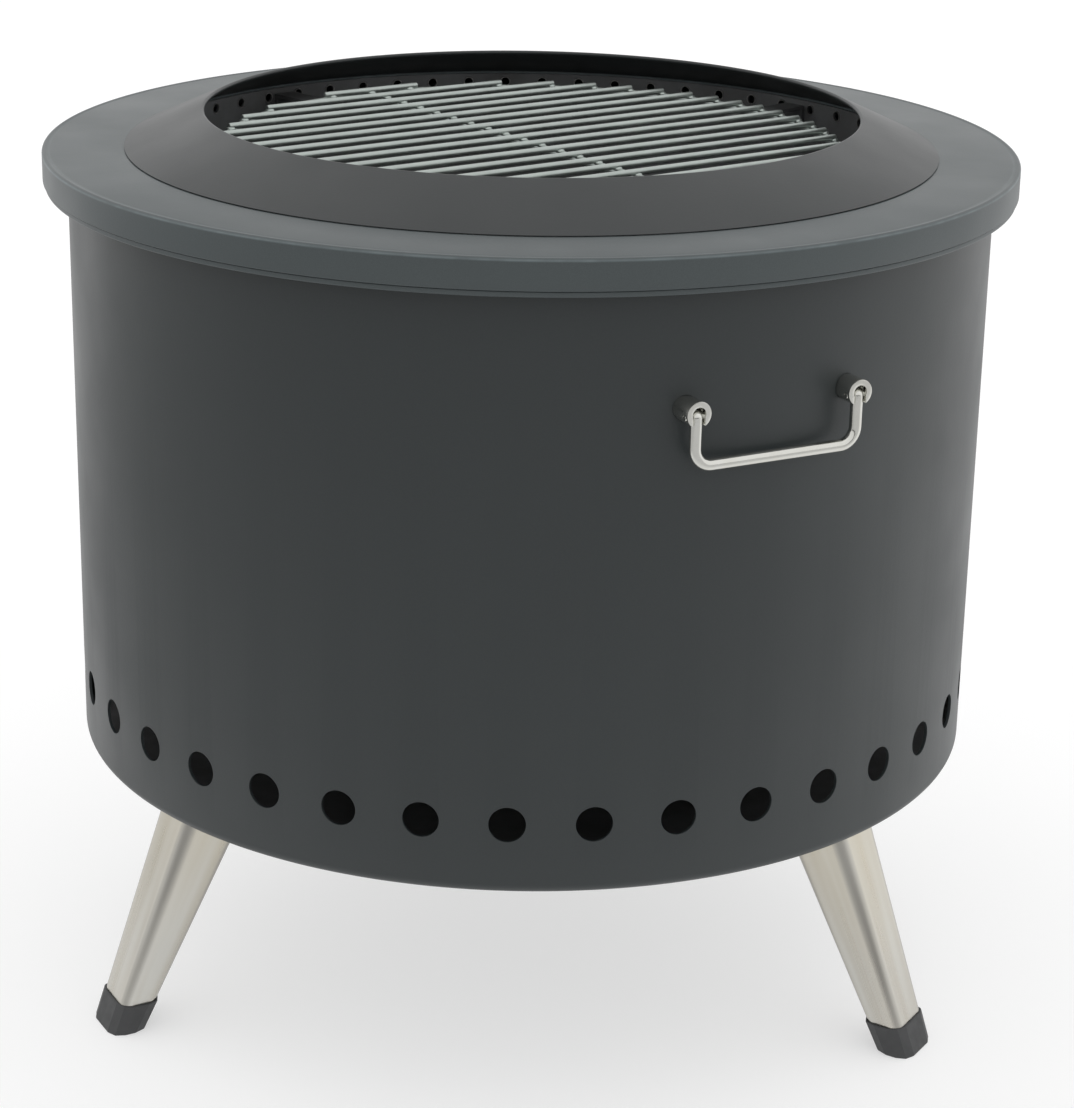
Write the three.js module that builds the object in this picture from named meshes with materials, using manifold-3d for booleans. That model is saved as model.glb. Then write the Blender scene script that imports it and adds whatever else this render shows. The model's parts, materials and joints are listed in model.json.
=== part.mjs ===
// Double-walled garden fire pit with a lift-out cooking grate, three splayed legs and two
// drop handles. Millimetres, +Z up, floor at z = 0, barrel axis on the Z axis, front at -Y.
// Azimuth 0 is the front; it grows anticlockwise seen from above.
import * as THREE from 'three';
import { mergeVertices } from 'three/addons/utils/BufferGeometryUtils.js';
import Module from 'manifold-3d';

const wasm = await Module();
wasm.setup();

// ---- common sizes ---------------------------------------------------------------------------
const GAP = 0.3;              // clear space between two pieces that touch
const FACETS = 72;            // facets round the barrel and everything concentric with it
const SHEET = 1.6;            // barrel, chamber and collar sheet
const BORE_SLACK = 0.4;       // radial slack of a screw or pin in its hole
const PAST = 8;               // how far a cutting tool runs past the faces it cuts

// ---- barrel ---------------------------------------------------------------------------------
const BARREL_R = 266;         // outside radius
const BARREL_BOTTOM = 155;    // underside above the floor
const BARREL_HEIGHT = 351;    // underside to the top face of the ring that caps it
const EDGE_R = 6;             // rounded bottom edge
const LIP_WIDTH = 14;         // turned-in lip under the barrel
const VENT_COUNT = 36;
const VENT_R = 10;
const VENT_ABOVE_BOTTOM = 40.7;

// ---- ring and collar on top -----------------------------------------------------------------
const RING_OVERHANG = 14;     // past the barrel wall
const RING_SHEET = 2;
const SKIRT_DEPTH = 16.7;     // full-width face of the skirt
const HEM_DEPTH = 3.4;        // folded hem below it
const HEM_INSET = 1.2;        // hem inside the face of the skirt
const RING_EDGE_R = 1.5;
const SPIGOT_CLEAR = 5;       // loose fit of the locating wall inside the barrel
const SPIGOT_DEPTH = 12;
const RING_BORE_CLEAR = 0.8;  // between the chamber rim and the bore of the ring
const COLLAR_LAP = 2.4;       // collar base past the bore of the ring
const COLLAR_WIDTH = 45.7;    // base to mouth, along the radius
const COLLAR_RISE = 20.6;
const COLLAR_LIP_R = 1.4;

// ---- burn chamber ---------------------------------------------------------------------------
const WALL_SPACE = 35.5;      // outside of the chamber to the outside of the barrel
const CHAMBER_STAND = 0.7;    // chamber rim above the underside of the ring
const SEAT_ABOVE_VENTS = 8.3; // top of the vents to the ring the chamber stands on
const SEAT_LAP = 8;           // seat ring under the chamber floor
const FLOOR_HOLE_R = 118;     // opening in the chamber floor
const AIR_HOLE_COUNT = 60;    // row of small air holes under the collar
const AIR_HOLE_R = 2.75;
const AIR_HOLE_DROP = 6.5;    // below the top face of the ring
const SEAT_HOLE_COUNT = 12;
const SEAT_HOLE_R = 9;

// ---- loose plates in the chamber ------------------------------------------------------------
const FIRE_GRATE_LAP = 18;    // past the edge of the opening, all round
const FIRE_GRATE_THICK = 3;
const FIRE_HOLE_R = 5;
const FIRE_HOLE_PITCH = 31;
const PAN_CLEAR = 3;          // pan rim to the edge of the opening
const PAN_RIM = 3;            // turned-out rim
const PAN_RIM_THICK = 2;
const PAN_HEADROOM = 20.7;    // pan rim to the chamber floor
const PAN_CHAMFER = 6;
const PAN_SHEET = 1.2;

// ---- cooking grate --------------------------------------------------------------------------
const BAR_R = 1.85;
const BAR_PITCH = 18.5;
const BAR_EDGE = 2;           // least distance of the last bar's axis from the hoop axis
const BAR_TURN = 36.5;        // direction of the bars, degrees from +X
const BAR_LEVEL = 2;          // bar axes above the top face of the ring
const GRATE_CLEAR = 7.5;      // hoop to the mouth of the collar, all round
const RING_WIRE_R = 2.5;
const BAR_PAST_HOOP = 1;      // bar end past the hoop axis
const WELD_DEPTH = 0.7;       // how far crossing wires melt into each other
const REST_COUNT = 4;
const REST_WIDTH = 14;
const REST_START = 45;        // azimuth of the first rest
const REST_PAST_HOOP = 6.8;   // inner end of a rest inside the hoop axis
const REST_WALL_CLEAR = 0.7;
const REST_THICK = 2;
const REST_DROP = 25;

// ---- base plate and legs --------------------------------------------------------------------
const BASE_THICK = 2;
const BASE_CLEAR = 0.5;       // base plate edge inside the barrel's rounded edge
const LEG_AZIMUTHS = [-60, 60, 180];
const FOOT_OUTSET = 2.4;      // leg axis outside the barrel wall, at the floor
const LEG_SPLAY = 0.44;       // inward run of the leg axis per mm of height
const LEG_FOOT_WIDTH = 33;    // across the outward face, at the floor
const LEG_FOOT_DEPTH = 20;    // along the radius, at the floor
const LEG_TOP_WIDTH = 46.5;
const LEG_TOP_DEPTH = 43;
const LEG_CORNER = 0.21;      // corner radius as a share of the width
const LEG_WALL = 1.8;
const CAP_HEIGHT = 18;
const CAP_FLOOR = 3;
const CAP_WALL = 1.3;
const PLATE_WIDTH = 80;
const PLATE_DEPTH = 48;
const PLATE_THICK = 3;
const LEG_SCREW_SPREAD = 64;
const LEG_SCREW_R = 3;
const LEG_SCREW_HEAD_R = 5;
const LEG_SCREW_HEAD = 3;     // height of the head
const LEG_SCREW_STAND = 3;    // end of the screw above the base plate

// ---- handles --------------------------------------------------------------------------------
const HANDLE_AZIMUTHS = [29.5, 209.5];
const HANDLE_DROP = 82.5;     // post axis below the top face of the ring
const POST_SPACING = 97;
const POST_LENGTH = 14;       // from the barrel wall to the post face
const POST_RIM = 3;           // ring of metal round the bore of a post
const ROD_R = 3.25;
const ROD_CLEAR = 0.31;       // rod end to the bore of the post
const ROD_PROUD = 0.05;       // rod end past the post face
const BORE_END_CLEAR = 1.55;  // rod end to the bottom of the bore
const PIN_R = 1.5;
const PIN_LOW = 1.75;         // pin axis below the post axis
const PIN_SHORT = 0.3;        // pin end inside the post side
const BAIL_DROP = 26.5;       // pin axis to the axis of the grip
const BAIL_BEND_R = 9.5;
const POST_SCREW_R = 2;
const POST_SCREW_HEAD_R = 4.5;
const POST_SCREW_HEAD = 2.5;  // height of the head
const POST_HEAD_CLEAR = 1.5;  // head to the curved wall
const POST_SCREW_SHORT = 1;   // end of the screw behind the bottom of the bore

// ---- worked out from the sizes above --------------------------------------------------------
const FLANGE_TOP = BARREL_BOTTOM + BARREL_HEIGHT;
const BARREL_IN_R = BARREL_R - SHEET;
const RING_R = BARREL_R + RING_OVERHANG;
const RING_UNDER = FLANGE_TOP - RING_SHEET;
const BARREL_TOP = RING_UNDER - GAP;
const BASE_BOTTOM = BARREL_BOTTOM + SHEET + GAP;
const BASE_TOP = BASE_BOTTOM + BASE_THICK;
const BASE_R = BARREL_R - EDGE_R - BASE_CLEAR;
const VENT_Z = BARREL_BOTTOM + VENT_ABOVE_BOTTOM;
const SEAT_BOTTOM = VENT_Z + VENT_R + SEAT_ABOVE_VENTS;
const SEAT_TOP = SEAT_BOTTOM + SHEET;
const CHAMBER_BOTTOM = SEAT_TOP + GAP;
const FLOOR_TOP = CHAMBER_BOTTOM + SHEET;
const CHAMBER_R = BARREL_R - WALL_SPACE;
const CHAMBER_IN_R = CHAMBER_R - SHEET;
const CHAMBER_TOP = RING_UNDER + CHAMBER_STAND;
const RING_BORE_R = CHAMBER_R + RING_BORE_CLEAR;
const COLLAR_BASE_R = RING_BORE_R + COLLAR_LAP;
const COLLAR_MOUTH_R = COLLAR_BASE_R - COLLAR_WIDTH;
const GRATE_RING_R = COLLAR_MOUTH_R - GRATE_CLEAR - RING_WIRE_R;
const BAR_PAIRS = Math.floor((GRATE_RING_R - BAR_EDGE) / BAR_PITCH + 0.5);
const FIRE_GRATE_R = FLOOR_HOLE_R + FIRE_GRATE_LAP;
const PAN_R = FLOOR_HOLE_R - PAN_CLEAR - PAN_RIM;
const BAR_Z = FLANGE_TOP + BAR_LEVEL;
const WIRE_Z = BAR_Z - BAR_R - RING_WIRE_R + WELD_DEPTH;
const REST_TOP = WIRE_Z - RING_WIRE_R - GAP;
const PLATE_TOP = BASE_BOTTOM - GAP;
const PLATE_BOTTOM = PLATE_TOP - PLATE_THICK;
const LEG_TOP = PLATE_BOTTOM - GAP;
const FOOT_RADIUS = BARREL_R + FOOT_OUTSET;
const POST_Z = FLANGE_TOP - HANDLE_DROP;
const POST_BORE_R = Math.hypot(ROD_R, PIN_LOW) + ROD_CLEAR;
const POST_R = POST_BORE_R + POST_RIM;
const PIN_SET_BACK = ROD_R - ROD_PROUD;
const POST_BORE_DEPTH = PIN_SET_BACK + ROD_R + BORE_END_CLEAR;

// ---- materials ------------------------------------------------------------------------------
const coat = (tint) => new THREE.MeshStandardMaterial({ color: tint, roughness: 0.55, metalness: 0.1 });
const steel = (tint, rough) =>
  new THREE.MeshStandardMaterial({ color: tint, roughness: rough, metalness: 1.0 });
const LOOK = {
  barrel: () => coat(0x3b3f40),
  ring: () => coat(0x45494a),
  collar: () => coat(0x3a3e41),
  inside: () => coat(0x1c1e1f),
  wire: () => steel(0xaab3ae, 0.4),
  leg: () => steel(0xb9b5ad, 0.35),
  polished: () => steel(0xc9c8c4, 0.18),
  screw: () => steel(0x8f9294, 0.4),
  rubber: () => new THREE.MeshStandardMaterial({ color: 0x2f3132, roughness: 0.8, metalness: 0.0 }),
  pan: () => steel(0x7d8183, 0.5),
};

const group = new THREE.Group();
group.name = 'fire_pit_with_grate';

// ---- solid helpers --------------------------------------------------------------------------
function solid(geometry) {
  const bare = geometry.clone();
  bare.deleteAttribute('normal');
  bare.deleteAttribute('uv');
  const merged = mergeVertices(bare, 1e-4);
  const corners = Float32Array.from(merged.attributes.position.array);
  const faces = Uint32Array.from(merged.index.array);
  let body = new wasm.Manifold(new wasm.Mesh({ numProp: 3, vertProperties: corners, triVerts: faces }));
  if (body.volume() < 0) {
    for (let i = 0; i < faces.length; i += 3) {
      const first = faces[i];
      faces[i] = faces[i + 1];
      faces[i + 1] = first;
    }
    body = new wasm.Manifold(new wasm.Mesh({ numProp: 3, vertProperties: corners, triVerts: faces }));
  }
  return body;
}

function addPiece(name, body, material) {
  const mesh = body.getMesh();
  const geometry = new THREE.BufferGeometry();
  const stride = mesh.numProp;
  const count = mesh.vertProperties.length / stride;
  const positions = new Float32Array(count * 3);
  for (let i = 0; i < count; i += 1) {
    for (let k = 0; k < 3; k += 1) {
      positions[3 * i + k] = mesh.vertProperties[stride * i + k];
    }
  }
  geometry.setAttribute('position', new THREE.BufferAttribute(positions, 3));
  geometry.setIndex(new THREE.BufferAttribute(Uint32Array.from(mesh.triVerts), 1));
  geometry.computeVertexNormals();
  const piece = new THREE.Mesh(geometry, material);
  piece.name = name;
  group.add(piece);
}

// Turns a closed profile of [radius, height] corners round the Z axis.
function turned(profile, facets = FACETS) {
  const points = profile.map(([radius, height]) => new THREE.Vector2(radius, height));
  const onAxis = profile[0][0] === 0 && profile[profile.length - 1][0] === 0;
  if (!onAxis) {
    points.push(points[0].clone());
  }
  const geometry = new THREE.LatheGeometry(points, facets);
  geometry.rotateX(Math.PI / 2);
  return solid(geometry);
}

function box(width, depth, height, x, y, z) {
  const geometry = new THREE.BoxGeometry(width, depth, height);
  geometry.translate(x, y, z);
  return solid(geometry);
}

// Round bar along Z, from one height to another.
function upright(radius, bottom, top, facets, x = 0, y = 0) {
  const geometry = new THREE.CylinderGeometry(radius, radius, top - bottom, facets);
  geometry.rotateX(Math.PI / 2);
  geometry.translate(x, y, (top + bottom) / 2);
  return solid(geometry);
}

// Round bar pointing out of the front of the barrel (along -Y).
function outward(radius, from, to, facets, x, z) {
  const geometry = new THREE.CylinderGeometry(radius, radius, to - from, facets);
  geometry.translate(x, -(from + to) / 2, z);
  return solid(geometry);
}

// Round bar along X.
function sideways(radius, length, facets, x, y, z) {
  const geometry = new THREE.CylinderGeometry(radius, radius, length, facets);
  geometry.rotateZ(Math.PI / 2);
  geometry.translate(x, y, z);
  return solid(geometry);
}

const swing = (body, azimuth) => body.rotate([0, 0, azimuth]);

function joined(bodies) {
  return wasm.Manifold.union(bodies);
}

// ---- barrel: outer shell --------------------------------------------------------------------
function filletCorners(centreR, centreZ, radius, fromDegrees, toDegrees, steps) {
  const corners = [];
  for (let i = 0; i <= steps; i += 1) {
    const angle = THREE.MathUtils.degToRad(fromDegrees + ((toDegrees - fromDegrees) * i) / steps);
    corners.push([centreR + radius * Math.cos(angle), centreZ + radius * Math.sin(angle)]);
  }
  return corners;
}

let shell = turned([
  [BARREL_R - LIP_WIDTH, BARREL_BOTTOM],
  ...filletCorners(BARREL_R - EDGE_R, BARREL_BOTTOM + EDGE_R, EDGE_R, -90, 0, 4),
  [BARREL_R, BARREL_TOP],
  [BARREL_IN_R, BARREL_TOP],
  ...filletCorners(BARREL_R - EDGE_R, BARREL_BOTTOM + EDGE_R, EDGE_R - SHEET, 0, -90, 4),
  [BARREL_R - LIP_WIDTH, BARREL_BOTTOM + SHEET],
]);
const vents = [];
for (let i = 0; i < VENT_COUNT; i += 1) {
  const vent = outward(VENT_R, BARREL_IN_R - PAST, BARREL_R + PAST, 14, 0, VENT_Z);
  vents.push(swing(vent, (360 * i) / VENT_COUNT));
}
const postScrewHoles = [];
for (const azimuth of HANDLE_AZIMUTHS) {
  for (const side of [-1, 1]) {
    const hole = outward(POST_SCREW_R + BORE_SLACK, BARREL_IN_R - 2 * PAST, BARREL_R + PAST, 12,
      (side * POST_SPACING) / 2, POST_Z);
    postScrewHoles.push(swing(hole, azimuth));
  }
}
shell = shell.subtract(joined([...vents, ...postScrewHoles]));
addPiece('outer_shell', shell, LOOK.barrel());

// ---- base plate with the leg screw holes ----------------------------------------------------
const legAxisR = (z) => FOOT_RADIUS - LEG_SPLAY * z;
const plateR = legAxisR(LEG_TOP);
let basePlate = turned([[0, BASE_BOTTOM], [BASE_R, BASE_BOTTOM], [BASE_R, BASE_TOP], [0, BASE_TOP]]);
const legScrewHoles = [];
for (const azimuth of LEG_AZIMUTHS) {
  for (const side of [-1, 1]) {
    const hole = upright(LEG_SCREW_R + BORE_SLACK, PLATE_BOTTOM - PAST, BASE_TOP + PAST, 12,
      (side * LEG_SCREW_SPREAD) / 2, -plateR);
    legScrewHoles.push(swing(hole, azimuth));
  }
}
basePlate = basePlate.subtract(joined(legScrewHoles));
addPiece('base_plate', basePlate, LOOK.inside());

// ---- ring that carries the burn chamber, with air holes through it --------------------------
let seat = turned([
  [CHAMBER_R - SEAT_LAP, SEAT_BOTTOM],
  [BARREL_IN_R - GAP, SEAT_BOTTOM],
  [BARREL_IN_R - GAP, SEAT_TOP],
  [CHAMBER_R - SEAT_LAP, SEAT_TOP],
]);
const seatHoleR = (CHAMBER_R + BARREL_IN_R) / 2;
const seatHoles = [];
for (let i = 0; i < SEAT_HOLE_COUNT; i += 1) {
  const hole = upright(SEAT_HOLE_R, SEAT_BOTTOM - PAST, SEAT_TOP + PAST, 8, 0, -seatHoleR);
  seatHoles.push(swing(hole, (360 * i) / SEAT_HOLE_COUNT));
}
seat = seat.subtract(joined(seatHoles));
addPiece('chamber_seat_ring', seat, LOOK.inside());

// ---- burn chamber floor: flat ring with a central opening, over the seat ring ---------------
addPiece('chamber_floor', turned([
  [FLOOR_HOLE_R, CHAMBER_BOTTOM],
  [CHAMBER_R, CHAMBER_BOTTOM],
  [CHAMBER_R, FLOOR_TOP],
  [FLOOR_HOLE_R, FLOOR_TOP],
]), LOOK.inside());

// ---- burn chamber wall: cylinder with a row of air holes near the rim -----------------------
let chamber = turned([
  [CHAMBER_IN_R, FLOOR_TOP + GAP],
  [CHAMBER_R, FLOOR_TOP + GAP],
  [CHAMBER_R, CHAMBER_TOP],
  [CHAMBER_IN_R, CHAMBER_TOP],
]);
const airHoles = [];
for (let i = 0; i < AIR_HOLE_COUNT; i += 1) {
  const hole = outward(AIR_HOLE_R, CHAMBER_IN_R - PAST, CHAMBER_R + PAST, 6, 0, FLANGE_TOP - AIR_HOLE_DROP);
  airHoles.push(swing(hole, (360 * i) / AIR_HOLE_COUNT));
}
chamber = chamber.subtract(joined(airHoles));
addPiece('chamber_wall', chamber, LOOK.inside());

// ---- fire grate: loose perforated plate over the opening in the floor -----------------------
const fireBottom = FLOOR_TOP + GAP;
const fireTop = fireBottom + FIRE_GRATE_THICK;
let fireGrate = turned(
  [[0, fireBottom], [FIRE_GRATE_R, fireBottom], [FIRE_GRATE_R, fireTop], [0, fireTop]],
  FACETS / 2,
);
const fireHoles = [upright(FIRE_HOLE_R, fireBottom - PAST, fireTop + PAST, 6)];
const fireRows = Math.floor((FLOOR_HOLE_R - FIRE_HOLE_R) / FIRE_HOLE_PITCH);
for (let row = 1; row <= fireRows; row += 1) {
  for (let i = 0; i < 6 * row; i += 1) {
    const hole = upright(FIRE_HOLE_R, fireBottom - PAST, fireTop + PAST, 6, 0, -row * FIRE_HOLE_PITCH);
    fireHoles.push(swing(hole, (60 * i) / row));
  }
}
fireGrate = fireGrate.subtract(joined(fireHoles));
addPiece('fire_grate', fireGrate, LOOK.inside());

// ---- ash pan: loose round tray on the base plate, narrow enough for the opening -------------
const panBottom = BASE_TOP + GAP;
const panTop = CHAMBER_BOTTOM - PAN_HEADROOM;
const panBend = PAN_CHAMFER + PAN_SHEET * (Math.SQRT2 - 1);
addPiece('ash_pan', turned([
  [0, panBottom],
  [PAN_R - PAN_CHAMFER, panBottom],
  [PAN_R, panBottom + PAN_CHAMFER],
  [PAN_R, panTop - PAN_RIM_THICK],
  [PAN_R + PAN_RIM, panTop - PAN_RIM_THICK],
  [PAN_R + PAN_RIM, panTop],
  [PAN_R - PAN_SHEET, panTop],
  [PAN_R - PAN_SHEET, panBottom + panBend],
  [PAN_R - panBend, panBottom + PAN_SHEET],
  [0, panBottom + PAN_SHEET],
], FACETS / 2), LOOK.pan());

// ---- top ring: flat flange, outer skirt and a locating wall that drops inside the barrel ----
const spigotR = BARREL_IN_R - SPIGOT_CLEAR;
addPiece('top_ring', turned([
  [RING_BORE_R, RING_UNDER],
  [RING_BORE_R, FLANGE_TOP],
  ...filletCorners(RING_R - RING_EDGE_R, FLANGE_TOP - RING_EDGE_R, RING_EDGE_R, 90, 0, 3),
  [RING_R, FLANGE_TOP - SKIRT_DEPTH],
  [RING_R - HEM_INSET, FLANGE_TOP - SKIRT_DEPTH],
  [RING_R - HEM_INSET, FLANGE_TOP - SKIRT_DEPTH - HEM_DEPTH],
  [RING_R - HEM_INSET - RING_SHEET, FLANGE_TOP - SKIRT_DEPTH - HEM_DEPTH],
  [RING_R - HEM_INSET - RING_SHEET, FLANGE_TOP - SKIRT_DEPTH],
  [RING_R - HEM_INSET - RING_SHEET, RING_UNDER],
  [spigotR, RING_UNDER],
  [spigotR, RING_UNDER - SPIGOT_DEPTH],
  [spigotR - SHEET, RING_UNDER - SPIGOT_DEPTH],
  [spigotR - SHEET, RING_UNDER],
]), LOOK.ring());

// ---- flame collar: shallow cone with a small rounded lip round the mouth --------------------
const collarBottom = FLANGE_TOP + GAP;
const collarTop = FLANGE_TOP + COLLAR_RISE;
const coneThick = (SHEET * Math.hypot(COLLAR_WIDTH, COLLAR_RISE)) / COLLAR_RISE;
const lipR = COLLAR_MOUTH_R + COLLAR_LIP_R;
const coneFacing = THREE.MathUtils.radToDeg(Math.atan2(COLLAR_WIDTH, COLLAR_RISE));
addPiece('flame_collar', turned([
  [COLLAR_BASE_R - coneThick, collarBottom],
  [COLLAR_BASE_R, collarBottom],
  ...filletCorners(lipR, collarTop - COLLAR_LIP_R, COLLAR_LIP_R, coneFacing, 200, 4),
]), LOOK.collar());

// ---- cooking grate: parallel bars welded on one cross rod and an outer ring -----------------
function rodAlongX(radius, halfLength, facets, y, z) {
  const geometry = new THREE.CylinderGeometry(radius, radius, 2 * halfLength, facets);
  geometry.rotateZ(Math.PI / 2);
  geometry.translate(0, y, z);
  return solid(geometry);
}
const hoop = new THREE.TorusGeometry(GRATE_RING_R, RING_WIRE_R, 8, 60);
hoop.translate(0, 0, WIRE_Z);
const wires = [solid(hoop)];
for (let i = 0; i < BAR_PAIRS; i += 1) {
  const offset = (i + 0.5) * BAR_PITCH;
  const halfLength = Math.sqrt((GRATE_RING_R + BAR_PAST_HOOP) ** 2 - offset ** 2);
  wires.push(rodAlongX(BAR_R, halfLength, 8, offset, BAR_Z));
  wires.push(rodAlongX(BAR_R, halfLength, 8, -offset, BAR_Z));
}
const crossRod = new THREE.CylinderGeometry(RING_WIRE_R, RING_WIRE_R, 2 * GRATE_RING_R, 8);
crossRod.translate(0, 0, WIRE_Z);
wires.push(solid(crossRod));
addPiece('cooking_grate', swing(joined(wires), BAR_TURN), LOOK.wire());

// ---- rests on the chamber wall that carry the cooking grate ---------------------------------
const restOut = CHAMBER_IN_R - REST_WALL_CLEAR;
const restReach = restOut - GRATE_RING_R + REST_PAST_HOOP;
for (let i = 0; i < REST_COUNT; i += 1) {
  const azimuth = REST_START + (360 * i) / REST_COUNT;
  const shelf = box(REST_WIDTH, restReach, REST_THICK, 0, -(restOut - restReach / 2),
    REST_TOP - REST_THICK / 2);
  const wallTab = box(REST_WIDTH, REST_THICK, REST_DROP, 0, -(restOut - REST_THICK / 2),
    REST_TOP - REST_DROP / 2);
  addPiece(`grate_rest_${i + 1}`, swing(shelf.add(wallTab), azimuth), LOOK.inside());
}

// ---- legs -----------------------------------------------------------------------------------
// Upright block with round corners that follows the leaning, tapering leg axis. `grow` moves
// every side out, `bottom` and `top` are heights above the floor.
function legBlock(grow, bottom, top) {
  const flatEnd = 0.5 - LEG_CORNER;
  const outline = new THREE.Shape();
  for (const [sideX, sideY, start] of [[1, -1, -90], [1, 1, 0], [-1, 1, 90], [-1, -1, 180]]) {
    const from = THREE.MathUtils.degToRad(start);
    outline.absarc(sideX * flatEnd, sideY * flatEnd, LEG_CORNER, from, from + Math.PI / 2, false);
  }
  const geometry = new THREE.ExtrudeGeometry(outline, {
    depth: top - bottom,
    bevelEnabled: false,
    curveSegments: 2,
  });
  const position = geometry.attributes.position;
  // A point of the unit outline, moved out to a section of another size with circular corners.
  const sized = (unit, size, radius) => {
    const side = Math.sign(unit);
    return side * (size / 2 - radius) + ((unit - side * flatEnd) * radius) / LEG_CORNER;
  };
  for (let i = 0; i < position.count; i += 1) {
    const z = bottom + position.getZ(i);
    const share = z / LEG_TOP;
    const across = THREE.MathUtils.lerp(LEG_FOOT_WIDTH, LEG_TOP_WIDTH, share);
    const along = THREE.MathUtils.lerp(LEG_FOOT_DEPTH, LEG_TOP_DEPTH, share);
    const radius = LEG_CORNER * across + grow;
    position.setX(i, sized(position.getX(i), across + 2 * grow, radius));
    position.setY(i, sized(position.getY(i), along + 2 * grow, radius) - legAxisR(z));
    position.setZ(i, z);
  }
  return solid(geometry);
}

const legTube = legBlock(0, CAP_FLOOR, LEG_TOP)
  .subtract(legBlock(-LEG_WALL, CAP_FLOOR - PAST, LEG_TOP + PAST));
const footCap = legBlock(CAP_WALL + GAP, 0, CAP_HEIGHT)
  .subtract(legBlock(GAP, CAP_FLOOR - GAP, CAP_HEIGHT + PAST));
let legPlate = box(PLATE_WIDTH, PLATE_DEPTH, PLATE_THICK, 0, -plateR, (PLATE_TOP + PLATE_BOTTOM) / 2);
for (const side of [-1, 1]) {
  const hole = upright(LEG_SCREW_R + BORE_SLACK, PLATE_BOTTOM - PAST, PLATE_TOP + PAST, 12,
    (side * LEG_SCREW_SPREAD) / 2, -plateR);
  legPlate = legPlate.subtract(hole);
}
let screwNumber = 1;
LEG_AZIMUTHS.forEach((azimuth, i) => {
  addPiece(`leg_${i + 1}`, swing(legTube, azimuth), LOOK.leg());
  addPiece(`foot_cap_${i + 1}`, swing(footCap, azimuth), LOOK.rubber());
  addPiece(`leg_plate_${i + 1}`, swing(legPlate, azimuth), LOOK.leg());
  for (const side of [-1, 1]) {
    const x = (side * LEG_SCREW_SPREAD) / 2;
    const headTop = PLATE_BOTTOM - GAP;
    const screwTop = BASE_TOP + LEG_SCREW_STAND;
    const head = upright(LEG_SCREW_HEAD_R, headTop - LEG_SCREW_HEAD, headTop, 6, x, -plateR);
    const shank = upright(LEG_SCREW_R, headTop - LEG_SCREW_HEAD / 2, screwTop, 12, x, -plateR);
    addPiece(`leg_screw_${screwNumber}`, swing(head.add(shank), azimuth), LOOK.screw());
    screwNumber += 1;
  }
});

// ---- handles --------------------------------------------------------------------------------
// Path of the bail rod from one hinge pin to the other, hanging straight down.
class BailPath extends THREE.Curve {
  getPoint(t, target = new THREE.Vector3()) {
    const half = POST_SPACING / 2;
    const straight = BAIL_DROP - BAIL_BEND_R;
    const arc = (Math.PI / 2) * BAIL_BEND_R;
    const grip = POST_SPACING - 2 * BAIL_BEND_R;
    const total = 2 * (straight + arc) + grip;
    const mirrored = t > 0.5;
    const run = (mirrored ? 1 - t : t) * total;
    let x = -half;
    let z = -run;
    if (run > straight + arc) {
      x = -half + BAIL_BEND_R + (run - straight - arc);
      z = -BAIL_DROP;
    } else if (run > straight) {
      const angle = (run - straight) / BAIL_BEND_R;
      x = -half + BAIL_BEND_R * (1 - Math.cos(angle));
      z = -straight - BAIL_BEND_R * Math.sin(angle);
    }
    return target.set(mirrored ? -x : x, 0, z);
  }
}

const chordR = Math.sqrt(BARREL_R ** 2 - (POST_SPACING / 2) ** 2);
const headChordR = Math.sqrt(BARREL_IN_R ** 2 - (POST_SPACING / 2 + POST_SCREW_HEAD_R) ** 2);
const headOut = headChordR - POST_HEAD_CLEAR;
const postFace = chordR + POST_LENGTH;
const pinOut = postFace - PIN_SET_BACK;
const pinZ = POST_Z - PIN_LOW;
const slotHalf = ROD_R + BORE_SLACK;
const screwEnd = postFace - POST_BORE_DEPTH - POST_SCREW_SHORT;

const rodSection = new THREE.Shape();
rodSection.absarc(0, 0, ROD_R, 0, 2 * Math.PI, false);
const sweptRod = new THREE.ExtrudeGeometry(rodSection, {
  steps: 24,
  curveSegments: 5,
  bevelEnabled: false,
  extrudePath: new BailPath(),
});
sweptRod.translate(0, -pinOut, pinZ);
let bail = solid(sweptRod);
for (const side of [-1, 1]) {
  const knob = new THREE.SphereGeometry(ROD_R, 12, 8);
  knob.translate((side * POST_SPACING) / 2, -pinOut, pinZ);
  bail = bail.add(solid(knob));
  const eye = sideways(PIN_R + BORE_SLACK, 4 * ROD_R, 10, (side * POST_SPACING) / 2, -pinOut, pinZ);
  bail = bail.subtract(eye);
}

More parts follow.
